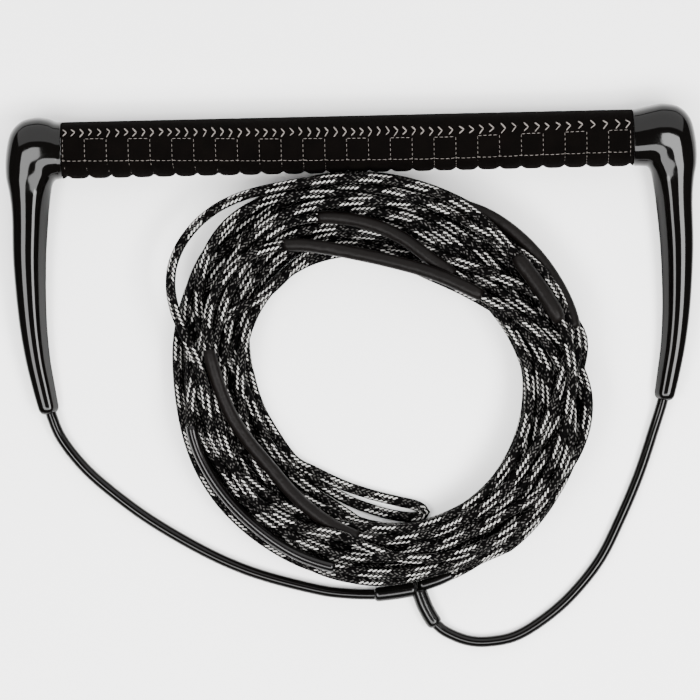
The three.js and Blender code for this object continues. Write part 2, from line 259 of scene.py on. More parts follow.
def make_object(name, vertices, faces, material, smooth=True):
    mesh = bpy.data.meshes.new(name)
    mesh.from_pydata([tuple(v) for v in vertices], [], faces)
    mesh.validate()
    if smooth:
        mesh.shade_smooth()
    obj = bpy.data.objects.new(name, mesh)
    bpy.context.collection.objects.link(obj)
    mesh.materials.append(material)
    return obj


def ring_faces(rings, sides):
    """The faces of a skin over rings of corners, closed by a cap at each end."""
    faces = []
    for i in range(rings - 1):
        for k in range(sides):
            n = (k + 1) % sides
            faces.append((i * sides + k, i * sides + n, (i + 1) * sides + n, (i + 1) * sides + k))
    faces.append(tuple(range(sides))[::-1])
    faces.append(tuple((rings - 1) * sides + k for k in range(sides)))
    return faces


# Painted shade in the rope: how open each corner lies where other strands come close.
CROWD_REACH = 3.2  # how near another strand counts, in radii of the tube
CROWD_SELF = 30  # the same strand doesn't count within this length
OPEN_GAP = 2.2  # from this gap on, a corner lies quite open


def openness(line, radius, sides):
    """How open the pile is at each corner of a tube: 0 where another strand touches it, up to 1. The
    braid darkens its colour by this as painted shade.
    """
    fine = resample(line, 1.0)
    place, along = places_of(fine), places_of(line)
    tree = KDTree(len(fine))
    for index, point in enumerate(fine):
        tree.insert(point, index)
    tree.balance()
    _, n, b = frames(line)
    turn = 2 * np.pi * np.arange(sides) / sides
    ring = np.cos(turn)[:, None, None] * n[None] + np.sin(turn)[:, None, None] * b[None]
    result = np.ones((len(line), sides))
    for i, point in enumerate(line):
        near = tree.find_range(point, CROWD_REACH * radius)
        others = [index for _, index, _ in near if abs(place[index] - along[i]) > CROWD_SELF]
        if others:
            corners = point + radius * ring[:, i]
            gap = np.linalg.norm(corners[:, None] - fine[others][None], axis=2).min(1) - radius
            result[i] = np.clip(gap / OPEN_GAP, 0, 1)
    return result


def tube(name, line, radius, material, sides, start=0.0, paint_crowd_shade=False):
    """A round tube along a line. radius may be one number or one for each point. The mesh keeps how
    far along and how far round each corner is, and how open it lies. The braid is drawn with these,
    and its painted shade with how open a corner lies."""
    line = np.asarray(line, float)
    r = np.broadcast_to(np.asarray(radius, float), (len(line),))
    _, n, b = frames(line)
    turn = 2 * np.pi * np.arange(sides) / sides
    out = np.cos(turn)[None, :, None] * n[:, None] + np.sin(turn)[None, :, None] * b[:, None]
    rings = line[:, None] + r[:, None, None] * out
    obj = make_object(name, rings.reshape(-1, 3) * MM, ring_faces(len(line), sides), material)
    along = start + places_of(line)
    mesh = obj.data
    corner = np.zeros(len(mesh.loops), dtype=np.int32)
    mesh.loops.foreach_get("vertex_index", corner)
    ring, side = corner // sides, corner % sides
    value = np.zeros((len(corner), 3), np.float32)
    value[:, 0] = along[ring]
    quads = (len(line) - 1) * sides * 4
    # the faces that close the ring go on to a full turn instead of back to its start
    side = side.astype(float)
    groups = side[:quads].reshape(-1, 4)
    wraps = (groups.max(1) == sides - 1) & (groups.min(1) == 0)
    groups[wraps] = np.where(groups[wraps] == 0, sides, groups[wraps])
    side[:quads] = groups.ravel()
    value[:, 1] = side / sides
    # how open each corner lies, which the braid darkens as painted shade
    value[:, 2] = openness(line, r[0], sides)[ring, corner % sides] if paint_crowd_shade else 1.0
    layer = mesh.attributes.new("lay", "FLOAT_VECTOR", "CORNER")
    layer.data.foreach_set("vector", value.ravel())
    return obj


def in_row(route):
    """A route measured from the grip's axis, in the row frame."""
    return [(x, y + BAR_Y, z) for x, y, z in route]


# ---- Materials ----

class Shader:
    """Builds one node material around a Principled shader."""

    def __init__(self, name, **values):
        self.material = bpy.data.materials.new(name)
        self.material.use_nodes = True
        self.tree = self.material.node_tree
        self.shader = self.tree.nodes["Principled BSDF"]
        for socket, value in values.items():
            self.shader.inputs[socket.replace("_", " ")].default_value = value

    def node(self, kind, inputs=None, **settings):
        n = self.tree.nodes.new(kind)
        for key, value in settings.items():
            setattr(n, key, value)
        for key, value in (inputs or {}).items():
            self.put(n.inputs[key], value)
        return n

    def put(self, socket, value):
        if isinstance(value, bpy.types.NodeSocket):
            self.tree.links.new(value, socket)
        else:
            socket.default_value = value

    def math(self, operation, *values):
        n = self.node("ShaderNodeMath", operation=operation)
        for socket, value in zip(n.inputs, values):
            self.put(socket, value)
        return n.outputs[0]

    def noise(self, scale, detail):
        n = self.node("ShaderNodeTexNoise", {"Scale": scale, "Detail": detail, "Roughness": 0.55})
        self.put(n.inputs["Vector"], self.node("ShaderNodeTexCoord").outputs["Object"])
        return n.outputs["Fac"]

    def ramp(self, value, low, high):
        """Turns a value into a colour, between two stops of (value, colour)."""
        n = self.node("ShaderNodeValToRGB", {"Fac": value})
        for element, (at, colour) in zip(n.color_ramp.elements, (low, high)):
            element.position = at
            element.color = (*colour, 1)
        return n.outputs["Color"]

    def grey(self, value, *stops):
        return self.ramp(value, *[(at, (v, v, v)) for at, v in stops])

    def mottle(self, value, colour):
        return self.ramp(value, (0.3, tuple(0.75 * c for c in colour)), (0.7, colour))

    # a Mix node's inputs 2 and 3 are its numbers, and 6 and 7 its colours

    def mix_numbers(self, factor, a, b):
        return self.node("ShaderNodeMix", {0: factor, 2: a, 3: b}).outputs[0]

    def mix_colours(self, factor, a, b, blend="MIX"):
        n = self.node("ShaderNodeMix", data_type="RGBA", blend_type=blend)
        for index, value in ((0, factor), (6, a), (7, b)):
            self.put(n.inputs[index], (*value, 1) if isinstance(value, tuple) else value)
        return n.outputs[2]

    def bump(self, height, distance, strength=1.0, normal=None):
        n = self.node("ShaderNodeBump", {"Height": height, "Distance": distance, "Strength": strength})
        if normal is not None:
            self.put(n.inputs["Normal"], normal)
        return n.outputs["Normal"]

    def finish(self, colour, roughness, normal=None):
        for name, value in (("Base Color", colour), ("Roughness", roughness), ("Normal", normal)):
            if value is not None:
                self.put(self.shader.inputs[name], value)
        return self.material


def gloss_material(name, tint, rough, peel, level=0.22):
    """Smooth plastic. peel is the height of its slight waviness, in metres."""
    s = Shader(name, IOR=1.45, Specular_IOR_Level=level)
    cloud = s.noise(35, 3)
    fine = s.noise(900, 2)
    roughness = s.grey(fine, (0.3, rough), (0.8, rough + 0.05))
    return s.finish(s.mottle(cloud, tint), roughness, s.bump(s.noise(160, 2), peel))


def suede_material():
    s = Shader("suede", Sheen_Weight=0.01, Sheen_Roughness=0.5, Sheen_Tint=(0.35, 0.3, 0.27, 1),
               IOR=1.3, Specular_IOR_Level=0.03)
    nap = s.noise(2600, 3)
    patches = s.noise(90, 4)
    blotches = s.math("MULTIPLY_ADD", patches, 0.6, s.math("MULTIPLY", nap, 0.4))
    colour = s.ramp(blotches, (0.3, (0.0007, 0.00055, 0.0005)), (0.7, (0.0018, 0.0014, 0.0012)))
    rough = s.grey(patches, (0.3, 0.86), (0.7, 0.97))
    return s.finish(colour, rough, s.bump(nap, 0.00012, 0.6, s.bump(patches, 0.0003, 0.4)))


def thread_material():
    s = Shader("thread")
    fibres = s.noise(3500, 2)
    colour = s.ramp(fibres, (0.3, (0.07, 0.06, 0.054)), (0.7, (0.155, 0.139, 0.127)))
    return s.finish(colour, s.grey(fibres, (0.3, 0.65), (0.7, 0.85)), s.bump(fibres, 0.0001, 0.5))


def braid_material(name, pitch, strands, dark, pale, speck, pale_share):
    """A braid from two families of yarns that cross over and under. A share of one family is pale, and
    shows as groups of pale flecks that wind round the cord. pitch is the length of one turn."""
    s = Shader(name, IOR=1.4, Specular_IOR_Level=0.03)
    lay = s.node("ShaderNodeAttribute", attribute_name="lay").outputs["Vector"]
    place, around, painted_shade_openness = s.node("ShaderNodeSeparateXYZ", {"Vector": lay}).outputs
    along = s.math("DIVIDE", place, pitch)
    right = s.math("MULTIPLY", s.math("ADD", along, around), strands)
    left = s.math("MULTIPLY", s.math("SUBTRACT", around, along), strands)
    yarn_right, yarn_left = s.math("FLOOR", right), s.math("FLOOR", left)
    part_right = s.math("SUBTRACT", right, yarn_right)
    part_left = s.math("SUBTRACT", left, yarn_left)
    # each yarn passes over two and under two of the other family
    phase = s.math("FLOORED_MODULO", s.math("ADD", yarn_right, yarn_left), 4.0)
    over = s.math("LESS_THAN", phase, 1.5)
    centred_right = s.math("ABSOLUTE", s.math("SUBTRACT", part_right, 0.5))
    centred_left = s.math("ABSOLUTE", s.math("SUBTRACT", part_left, 0.5))
    run_right = s.math("MULTIPLY", s.math("ADD", phase, part_left), 0.5)
    run_left = s.math("MULTIPLY", s.math("ADD", s.math("SUBTRACT", phase, 2.0), part_right), 0.5)
    # where a point lies on the yarn that is on top: 0 in its middle, 0.5 at its edge or its end
    across = s.mix_numbers(over, centred_left, centred_right)
    along_yarn = s.math("ABSOLUTE", s.math("SUBTRACT", s.mix_numbers(over, run_left, run_right), 0.5))

    def within(wide, long):
        """1 on the middle part of a yarn, and 0 round it."""
        inside = s.math("LESS_THAN", across, wide)
        return s.math("MULTIPLY", inside, s.math("LESS_THAN", along_yarn, long))

    # a yarn is round across, and dives under the next one at its ends
    rounding = s.math("SUBTRACT", 0.25, s.math("MULTIPLY", across, across))
    round_yarn = s.math("SQRT", s.math("MAXIMUM", rounding, 0.0))
    dive = s.math("SUBTRACT", 1.0, s.math("MULTIPLY", s.math("MULTIPLY", along_yarn, along_yarn), 2.4))
    height = s.math("MULTIPLY", round_yarn, dive)
    number = s.math("DIVIDE", s.math("FLOORED_MODULO", yarn_right, float(strands)), float(strands))
    pale_yarn = s.math("MULTIPLY", s.math("LESS_THAN", number, pale_share), over)
    fleck = s.math("MULTIPLY", pale_yarn, within(0.3, 0.43))
    # a part of the dark yarns has a faint speck
    cell = s.node("ShaderNodeCombineXYZ", {0: yarn_right, 1: yarn_left, 2: 0.5}).outputs[0]
    random = s.node("ShaderNodeTexWhiteNoise", {"Vector": cell}, noise_dimensions="3D")
    chance = random.outputs["Value"]
    dust = s.math("MULTIPLY", within(0.22, 0.36), s.math("GREATER_THAN", chance, 0.45))
    ground = s.mix_colours(s.math("MULTIPLY", dust, chance), dark, speck)
    wear = s.noise(260, 3)
    colour = s.mix_colours(fleck, ground, s.mottle(wear, pale))
    # painted shade: dark between the yarns, and where strands press on each other
    painted_groove_shade = s.grey(height, (0.12, 0.3), (0.4, 1.0))
    shade = s.math("MULTIPLY", painted_groove_shade, s.math("MULTIPLY_ADD", painted_shade_openness, 0.86, 0.14))
    shaded = s.mix_colours(1.0, colour, shade, "MULTIPLY")
    rough = s.grey(wear, (0.3, 0.66), (0.7, 0.82))
    return s.finish(shaded, rough, s.bump(height, 0.0007, 0.9))


def metal_material():
    s = Shader("aluminium", Metallic=1.0)
    brushed = s.noise(400, 3)
    colour = s.ramp(brushed, (0.3, (0.6, 0.6, 0.62)), (0.7, (0.75, 0.75, 0.77)))
    return s.finish(colour, s.grey(brushed, (0.3, 0.28), (0.7, 0.42)), s.bump(brushed, 0.00003))


def foam_material():
    s = Shader("foam")
    cells = s.noise(1800, 3)
    colour = s.ramp(cells, (0.35, (0.03, 0.03, 0.03)), (0.7, (0.07, 0.07, 0.072)))
    return s.finish(colour, s.grey(cells, (0.3, 0.8), (0.7, 0.95)), s.bump(cells, 0.0002))


def floor_material():
    s = Shader("floor")
    wash = s.noise(3, 2)
    colour = s.ramp(wash, (0.3, (0.87, 0.865, 0.86)), (0.7, (0.9, 0.897, 0.893)))
    return s.finish(colour, s.grey(wash, (0.3, 0.6), (0.7, 0.7)))


MOULDING = gloss_material("moulding", (0.0014, 0.0012, 0.0011), 0.05, 0.000012)
JACKET_SKIN = gloss_material("jacket", (0.0014, 0.0012, 0.0011), 0.09, 0.00002, 0.17)
SLEEVE = gloss_material("sleeve", (0.0026, 0.002, 0.0018), 0.42, 0.0006, 0.075)
YOKE = gloss_material("yoke_sleeve", (0.0013, 0.0012, 0.0011), 0.16, 0.00004)
PLUG = gloss_material("plug", (0.02, 0.02, 0.02), 0.45, 0.00004)
SUEDE = suede_material()
THREAD = thread_material()
BRAID = braid_material("rope", 26.0, 10, dark=(0.0006, 0.0005, 0.0005), pale=(0.38, 0.371, 0.357),
                       speck=(0.05, 0.048, 0.046), pale_share=0.5)
LINE = braid_material("line", 16.0, 6, dark=(0.004, 0.004, 0.004), pale=(0.02, 0.019, 0.018),
                      speck=(0.01, 0.01, 0.01), pale_share=1.0)
METAL = metal_material()
FOAM = foam_material()
# The CAD nodes that stay, all inside the handle.
INSIDE = {
    "grip_pad": FOAM, "float_core": FOAM, "core_line": FOAM, "bar_tube": METAL,
    "left_end_plug": PLUG, "right_end_plug": PLUG,
}

for node, material in INSIDE.items():
    for slot in bpy.data.objects[node].material_slots:
        slot.link = "OBJECT"
        slot.material = material


# ---- The coiled mainline ----

# How the turns are laid. A level is a share of START_SPREAD, the height that they are laid over.
LANE_STEP = 0.24  # turns in which a strand drifts to another lane
LEVEL_STEP = 0.21  # turns in which it drifts to another level
LEVEL_DRIFT = 0.1
START_SPREAD = 30
START_JITTER = 0.2
# Pulls: the share of the way to its lane or guide that a strand goes in each round.
LANE_PULL = 0.06
GUIDE_PULL = 0.5
GUIDE_FADE = 12  # degrees before and after a guide in which it takes hold
HELD_FROM = 0.3  # a stronger pull than this is repeated after the smoothing,
HELD_SHARE = 0.7  # with this share of it
PULL_FADE = 0.7  # the share of every pull that is gone in the last round
# The first turn, from where it comes in, and the last one, which sinks towards the tow eye.
HEAD_FADE = 60
HEAD_OUT = 0.5  # how far its centre starts beyond the rim
HEAD_PULL = 0.5
HEAD_FREE = 0.2  # the rim holds it from where less than this of the start is left
TAIL_START = 110  # degrees before the end
TAIL_FADE = 60
TAIL_SINK = 0.5  # levels
TAIL_PULL = 0.3
# How the pile settles.
ROUNDS = 400
SINK = 0.1  # in each round
SETTLING = (0.45, 6)  # share and passes of the smoothing in each round
LAST_SMOOTHING = (0.5, 8)
PUSHES = 3
PUSH_SHARE = 0.35  # of an overlap, for each of the two strands
BITE = 0.05  # how far a strand's surface may be pressed in
SLEEVE_BITE = 0.2
LOOSE_FROM = 1  # a guide this far outside the rim isn't pushed off its way
LOOSE_FADE = 4  # which holds fully this much further out
# Dents in the coil's rim: degree and depth.
DENT_WIDTH = 9  # degrees
MAINLINE_DENT = (284, 2.2)  # for the sleeve on the mainline's eye
YOKE_DENT = (272, 3.4)  # for the left yoke sleeve, in low strands only
YOKE_TOP = 18  # from this height on, strands have no such dent
YOKE_FADE = 5
FREE = 999  # a rim that holds nothing back


def around_coil(values, degrees):
    """A periodic smooth curve through evenly spaced values."""
    v = np.array(values, float)
    t = np.asarray(degrees) / (360 / len(v))
    i = np.floor(t).astype(int)
    return curve_between(*(v[(i + k) % len(v)] for k in (-1, 0, 1, 2)), t - i)


def dent(degrees, middle, depth):
    return depth * np.exp(-((degrees % 360 - middle) / DENT_WIDTH) ** 2)


def drift(rng, turns, step):
    """Slow random values from 0 to 1 along the rope. A part of them rests at 0 and at 1."""
    v = rng.uniform(-0.25, 1.25, int(turns.max() / step) + 5)
    i = np.floor(turns / step).astype(int)
    f = turns / step - i
    f = f * f * (3 - 2 * f)
    return np.clip(v[i] * (1 - f) + v[i + 1] * f, 0, 1)


def turn_start(back):
    """The degree of +X in the turn that lies this many turns before the end."""
    return 360 * math.floor((FIRST_DEGREE + 360 * (TURNS - back)) / 360)


def in_sleeve(degrees, back, first, last):
    """Which stations a sleeve covers."""
    return (degrees > first + turn_start(back)) & (degrees < last + turn_start(back))


class Pile:
    """The turns of the coil as they lie on each other. Every array holds one value for each station
    along the rope: radius and height of its centre, the radius that it is pulled to, and so on."""

    def __init__(self):
        """Each turn gets its lane across the coil and its level in the pile."""
        rng = np.random.default_rng(4)
        self.count = int(TURNS * STATIONS) + 1
        turns = np.arange(self.count) / STATIONS
        self.degrees = FIRST_DEGREE + 360 * turns
        inner = around_coil(INNER, self.degrees)
        self.outer = around_coil(OUTER, self.degrees) - dent(self.degrees, *MAINLINE_DENT)
        lane = drift(rng, turns, LANE_STEP)
        level = turns / TURNS + LEVEL_DRIFT * (drift(rng, turns, LEVEL_STEP) - 0.5)
        self.target = inner + ROPE / 2 + (self.outer - inner - ROPE) * lane
        self.pull = np.full(self.count, LANE_PULL)
        self.guided = np.zeros(self.count, bool)
        for back, lift, points in GUIDES:
            level = level + lift * self.follow(back, points)
        head, tail = self.hold_ends()
        level -= TAIL_SINK * tail
        self.nearest = np.where(self.guided, 0, inner + ROPE / 2)
        self.furthest = np.where(self.guided | (head > HEAD_FREE), FREE, self.outer - ROPE / 2)
        self.radius = self.target.copy()
        jitter = rng.uniform(-START_JITTER, START_JITTER, self.count)
        self.height = ROPE / 2 + level * START_SPREAD + jitter
        self.rows = math.ceil(self.count / STATIONS)
        self.spare = self.rows * STATIONS - self.count

    def follow(self, back, points):
        """Pulls one turn to a guide. Returns how fully each station follows it."""
        start = turn_start(back)
        way = [(at + start, radius) for at, radius in points]
        first, last = way[0][0], way[-1][0]
        fade_in = (self.degrees - first) / GUIDE_FADE + 1
        fade_out = (last - self.degrees) / GUIDE_FADE + 1
        share = np.clip(np.minimum(fade_in, fade_out), 0, 1)
        self.target = self.target * (1 - share) + look_up(way, self.degrees) * share
        self.pull = np.maximum(self.pull, GUIDE_PULL * share)
        self.guided |= share > 0.5
        return share

    def hold_ends(self):
        """Pulls the first turn to the rim, where it comes in, and keeps the last one in its lane.
        Returns how fully each station belongs to the first turn's start and the last one's end."""
        tail = np.clip((self.degrees - (self.degrees[-1] - TAIL_START)) / TAIL_FADE, 0, 1)
        head = np.clip(1 - (self.degrees - FIRST_DEGREE) / HEAD_FADE, 0, 1)
        self.target = self.target * (1 - head) + (self.outer + HEAD_OUT) * head
        self.held = np.where(self.pull > HELD_FROM, HELD_SHARE * self.pull, 0)
        self.pull = np.maximum(self.pull, np.maximum(TAIL_PULL * tail, HEAD_PULL * head))
        return head, tail

    def sections(self, values):
        """The values turn by turn: a column holds the strands of one section across the coil."""
        return np.r_[values, np.zeros(self.spare)].reshape(self.rows, STATIONS)

    def settle(self):
        """The strands sink, are kept smooth along the rope, and are pushed apart if they overlap."""
        half = np.full(self.count, ROPE / 2 - BITE)
        for back, first, last, radius in SLEEVES:
            half[in_sleeve(self.degrees, back, first, last)] = radius - SLEEVE_BITE
        thick = self.sections(half)
        used = self.sections(np.ones(self.count)) > 0
        pairs = used[:, None] & used[None] & ~np.eye(self.rows, dtype=bool)[:, :, None]
        need = thick[:, None] + thick[None]
        yoke_dent = dent(self.degrees, *YOKE_DENT)
        for step in range(ROUNDS):
            self.height -= SINK
            fading = 1 - PULL_FADE * step / ROUNDS
            self.radius += self.pull * (self.target - self.radius) * fading
            relax((self.radius, self.height), *SETTLING)
            self.radius += self.held * (self.target - self.radius)
            for _ in range(PUSHES):
                self.push_apart(pairs, need)
                self.keep_inside(yoke_dent)
        loose = np.clip((self.target - self.outer - LOOSE_FROM) / LOOSE_FADE, 0, 1) * self.guided
        self.radius += loose * (self.target - self.radius)
        relax((self.radius, self.height), *LAST_SMOOTHING)

    def push_apart(self, pairs, need):
        """Moves the two strands of each pair apart if they are nearer than they need to be."""
        r, h = self.sections(self.radius), self.sections(self.height)
        dr, dh = r[:, None] - r[None], h[:, None] - h[None]
        gap = np.sqrt(dr ** 2 + dh ** 2) + 1e-6
        push = np.where(pairs, PUSH_SHARE * np.maximum(need - gap, 0) / gap, 0)
        self.radius += (push * dr).sum(1).ravel()[:self.count]
        self.height += (push * dh).sum(1).ravel()[:self.count]

    def keep_inside(self, yoke_dent):
        self.height = np.maximum(self.height, ROPE / 2)
        beside_yoke = np.clip((YOKE_TOP - self.height) / YOKE_FADE, 0, 1)
        self.radius = np.clip(self.radius, self.nearest, self.furthest - yoke_dent * beside_yoke)

    def line(self):
        """The rope's centreline in the row frame."""
        angle = np.radians(self.degrees)
        x = COIL_MIDDLE[0] + self.radius * np.cos(angle)
        y = COIL_MIDDLE[1] + self.radius * np.sin(angle)
        return np.stack([x, y, self.height], 1)


ROPE_STEP = 4.6
JOIN_STEPS = 8  # between the lead's end and the coil's fourth station
EYE_STEP = 2.5
SLEEVE_STEP = 2.5
SLEEVE_TAPER = 2.0  # steps

pile = Pile()
pile.settle()
coil = pile.line()
lead = catmull(in_row(LEAD), 6)
join = catmull([lead[-2], lead[-1], coil[3], coil[4]], JOIN_STEPS)[JOIN_STEPS:2 * JOIN_STEPS + 1]
rope_line = resample(np.vstack([lead[:-1], join, coil[4:]]), ROPE_STEP)
mainline = tube("mainline_rope", rope_line, ROPE / 2 - ROPE_SQUASH, BRAID, sides=12, paint_crowd_shade=True)
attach(mainline, "mainline")
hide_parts("rope_coil", "mainline_lead", "loose_turn")

tow_line = resample(catmull([coil[-9], coil[-5], coil[-1], *in_row(TOW_EYE)], 10), EYE_STEP)
tow_eye = tube("tow_eye_loop", tow_line, ROPE / 2 - TOW_EYE_SQUASH, BRAID, sides=16, start=7.0)
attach(tow_eye, "mainline")
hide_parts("tow_eye")

for number, (back, first, last, radius) in enumerate(SLEEVES, 1):
    line = resample(catmull(coil[in_sleeve(pile.degrees, back, first, last)], 3), SLEEVE_STEP)
    from_end = np.minimum(np.arange(len(line)), np.arange(len(line))[::-1])
    thickness = radius - ROPE / 2 - SLEEVE_LIP
    size = ROPE / 2 + SLEEVE_LIP + thickness * np.clip(from_end / SLEEVE_TAPER, 0, 1)
    skin = SLEEVE if number <= CAD_SLEEVES else YOKE
    sleeve = tube(f"rope_sleeve_{number}", line, size, skin, sides=20)
    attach(sleeve, "mainline")
    if number <= CAD_SLEEVES:
        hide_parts(f"section_sleeve_{number}")


# ---- Bridle legs and yoke ----

# A sleeve's radius by the share of its length.
YOKE_SIZES = [(0, 3.1), (0.03, 3.8), (0.07, 4.15), (0.6, 4.25), (0.9, 4.1), (0.96, 3.6), (1, 2.4)]
RIGHT_YOKE_SIZES = [(1 - at, size + 0.2) for at, size in reversed(YOKE_SIZES)]
EYE_SLEEVE_SIZES = [(0, 2.0), (0.06, 3.4), (0.14, 3.7), (0.6, 3.5), (1, 2.9)]
LEG_INSIDE = (1.2, 6)  # how far its start lies outwards and up the arm from the middle of the tip
LEG_LOWEST = JACKET / 2 + 0.31  # its centre, just over the floor
LEG_STEP = 3
YOKE_STEP = 1.2
LINK_STEP = 0.8
EYE_SIDES = 32
EYE_SLANT = 0.35


def handle_point(x, y, z=0.0):
    """A point of the handle's own tilted plane, in the row frame. y and z are from the grip's axis."""
    return (x,
            BAR_Y + y * math.cos(TILT) - z * math.sin(TILT),
            GRIP_RADIUS + y * math.sin(TILT) + z * math.cos(TILT))


def metres(points):
    """Points in mm as a list of tuples in metres."""
    return [tuple(np.array(p) * MM) for p in points]


def bridle_leg(side, route):
    name = "left" if side < 0 else "right"
    inside = handle_point(side * (TIP_X + LEG_INSIDE[0]), -ARM_DROP + LEG_INSIDE[1])
    line = resample(catmull([inside, *in_row(route)], 10), LEG_STEP)
    line[:, 2] = np.maximum(line[:, 2], LEG_LOWEST)
    leg = tube(f"{name}_bridle_leg", line, JACKET / 2 + JACKET_SWELL, JACKET_SKIN, sides=20)
    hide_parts(f"{name}_bridle_jacket", f"{name}_bridle_core")
    bend = metres(handle_point(side * TIP_X, -ARM_DROP + y) for y in (BEND_REACH, -BEND_REACH))
    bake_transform(leg)
    path = metres(line)


def yoke_sleeve(name, route, sizes, replaced, body):
    line = resample(catmull(in_row(route), 12), YOKE_STEP)
    sleeve = tube(name, line, look_up(sizes, np.linspace(0, 1, len(line))), YOKE, sides=24)
    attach(sleeve, body)
    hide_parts(replaced)
    return sleeve


def make_link():
    line = resample(catmull(in_row(LINK), 10), LINK_STEP)
    link = tube("bridle_loop", line, LINK_RADIUS, LINE, sides=12)
    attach(link, "bridle")
    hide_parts("bridle_link")


def make_mainline_ring():
    """The mainline's eye, a ring round the bridle's link."""
    turn = np.linspace(0, 2 * np.pi, EYE_SIDES + 1)[:-1]
    (x, y, z), = in_row([HITCH])
    ring = np.stack([
        x + EYE_SLANT * np.sin(turn), y + EYE_RADIUS * np.cos(turn), z + EYE_RADIUS * np.sin(turn),
    ], 1)
    eye_ring = tube("mainline_ring", np.vstack([ring, ring[:1]]), EYE_CORD_RADIUS, LINE, sides=10)
    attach(eye_ring, "mainline")
    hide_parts("mainline_eye")


bridle_leg(-1, LEFT_LEG)
bridle_leg(1, RIGHT_LEG)
yoke_sleeve("left_yoke", LEFT_YOKE, YOKE_SIZES, "left_yoke_sleeve", "bridle")
yoke_sleeve("right_yoke", RIGHT_YOKE, RIGHT_YOKE_SIZES, "right_yoke_sleeve", "bridle")
eye_sleeve = yoke_sleeve("mainline_sleeve", EYE_SLEEVE, EYE_SLEEVE_SIZES, "eye_sleeve", "mainline")
make_link()
make_mainline_ring()

rope_path = metres(rope_line)


# ---- Arms ----

ARM_SIDES = 48
ARM_ROUNDNESS = 0.86  # 1 would make its round sections ellipses, and less makes them fuller
ARM_STEPS = 7  # between two sections
COLLAR = (2.6, 1.4)  # from the grip's end to the second section's outer and inner points
TIP_LENGTH = 4.6  # of its rounded end
TIP_WAY = (-0.2, -1)  # in which the rounded end points, on the right side
TIP_ROUNDNESS = 0.55
TIP_DEGREES = (15, 30, 45, 60, 75, 88)


def arm_ring(outer_x, outer_y, inner_x, inner_y, half, bevel, side):
    """One section of the arm, between an ellipse and the bevelled profile."""
    centre = np.array([outer_x + inner_x, outer_y + inner_y]) / 2
    reach = np.array([outer_x, outer_y]) - centre
    corners = range(len(ARM_PROFILE))
    points = []
    for k in range(ARM_SIDES):
        t = 2 * math.pi * k / ARM_SIDES
        at = min(k, ARM_SIDES - k) / (ARM_SIDES / 2) * (len(ARM_PROFILE) - 1)
        across = np.interp(at, corners, [p[0] for p in ARM_PROFILE])
        up = math.copysign(np.interp(at, corners, [p[1] for p in ARM_PROFILE]), math.sin(t))
        full_across, full_up = (
            math.copysign(abs(v) ** ARM_ROUNDNESS, v) for v in (math.cos(t), math.sin(t)))
        x, y = centre + reach * (full_across * (1 - bevel) + across * bevel)
        points.append(handle_point(side * x, y, half * (full_up * (1 - bevel) + up * bevel)))
    return points


def tip_rings(last, side):
    """The arm's rounded end, beyond its last section."""
    outer, inner, half, bevel = last[:2], last[2:4], last[4], last[5]
    centre, reach = (outer + inner) / 2, (outer - inner) / 2
    ahead = np.array(TIP_WAY) / math.hypot(*TIP_WAY)
    rings = []
    for degrees in TIP_DEGREES:
        a = math.radians(degrees)
        shrink = math.cos(a) ** TIP_ROUNDNESS
        middle = centre + ahead * TIP_LENGTH * math.sin(a)
        outer, inner = middle + reach * shrink, middle - reach * shrink
        rings.append(arm_ring(*outer, *inner, half * shrink, bevel, side))
    return rings


def make_arm(side):
    sections = np.array(ARM_SECTIONS)
    # the first sections close on the grip's end, which isn't the same on both sides
    end = GRIP_ENDS[side]
    sections[0, [0, 2]] = end
    sections[1, [0, 2]] = end + COLLAR[0], end + COLLAR[1]
    sections = catmull(sections, ARM_STEPS)
    sections[:, 5] = np.clip(sections[:, 5], 0, 1)
    rings = [arm_ring(*section, side) for section in sections]
    rings += tip_rings(sections[-1], side)
    faces = ring_faces(len(rings), ARM_SIDES)
    if side < 0:
        faces = [f[::-1] for f in faces]
    name = "left" if side < 0 else "right"
    arm = make_object(f"{name}_arm_moulding", np.vstack(rings) * MM, faces, MOULDING)
    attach(arm, "handle")
    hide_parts(f"{name}_arm")


make_arm(-1)
make_arm(1)


# ---- Grip cover ----

# Angles round the grip are degrees from the far side over the top.
PITCH = 11.96
FIRST_SEAM = -157.8
LONG_SEAM = 112  # runs along the blocks
EDGE_SEAM = 63  # between the plain strip and the blocks
LOW_SEAM = 300  # along the blocks' other end, under the grip
COVER_SWELL = 0.25  # the whole cover, over the CAD's radius
# How far the cover is twisted on the bar: x, degrees.
TWIST = [(-159, 1), (-109, 4.5), (-73, 8), (-49, 11), (0, 14), (51, 16), (95, 12.5), (142, 9.5)]
# The seams between blocks lean: how far by x, and what share of it by angle.
LEAN = [(-160, 1.9), (0, 0.4), (160, 0)]
LEAN_SHARE = [(LONG_SEAM, 0), (175, 1), (200, 1), (250, 0)]
# How deep these seams are, and how far the whole cover bulges, by angle.
SEAM_DEPTH = [
    (0, 0.08), (61, 0.08), (70, 0.5), (112, 0.7), (135, 1.5), (180, 1.9), (320, 1.7), (335, 0.1),
    (360, 0.08),
]
BULGE = [(0, 0), (115, 0), (180, 0.9), (225, 0.4), (270, -0.35), (320, -0.2), (360, 0)]
BLOCK_COLUMNS = 14  # faces along each block
GRIP_SIDES = 96
COVER_INSET = 0.3  # how far the cover's ends stay inside GRIP_ENDS
RIM_RADIUS = 13  # to which its ends are turned in


def twist(x):
    return look_up(TWIST, x)


def lean(x, degrees):
    """How far a seam between blocks has moved along the grip, at an angle."""
    return look_up(LEAN, x) * look_up(LEAN_SHARE, degrees)


def furrow(degrees, middle, depth, width):
    return depth * math.exp(-((degrees - middle) / width) ** 2)


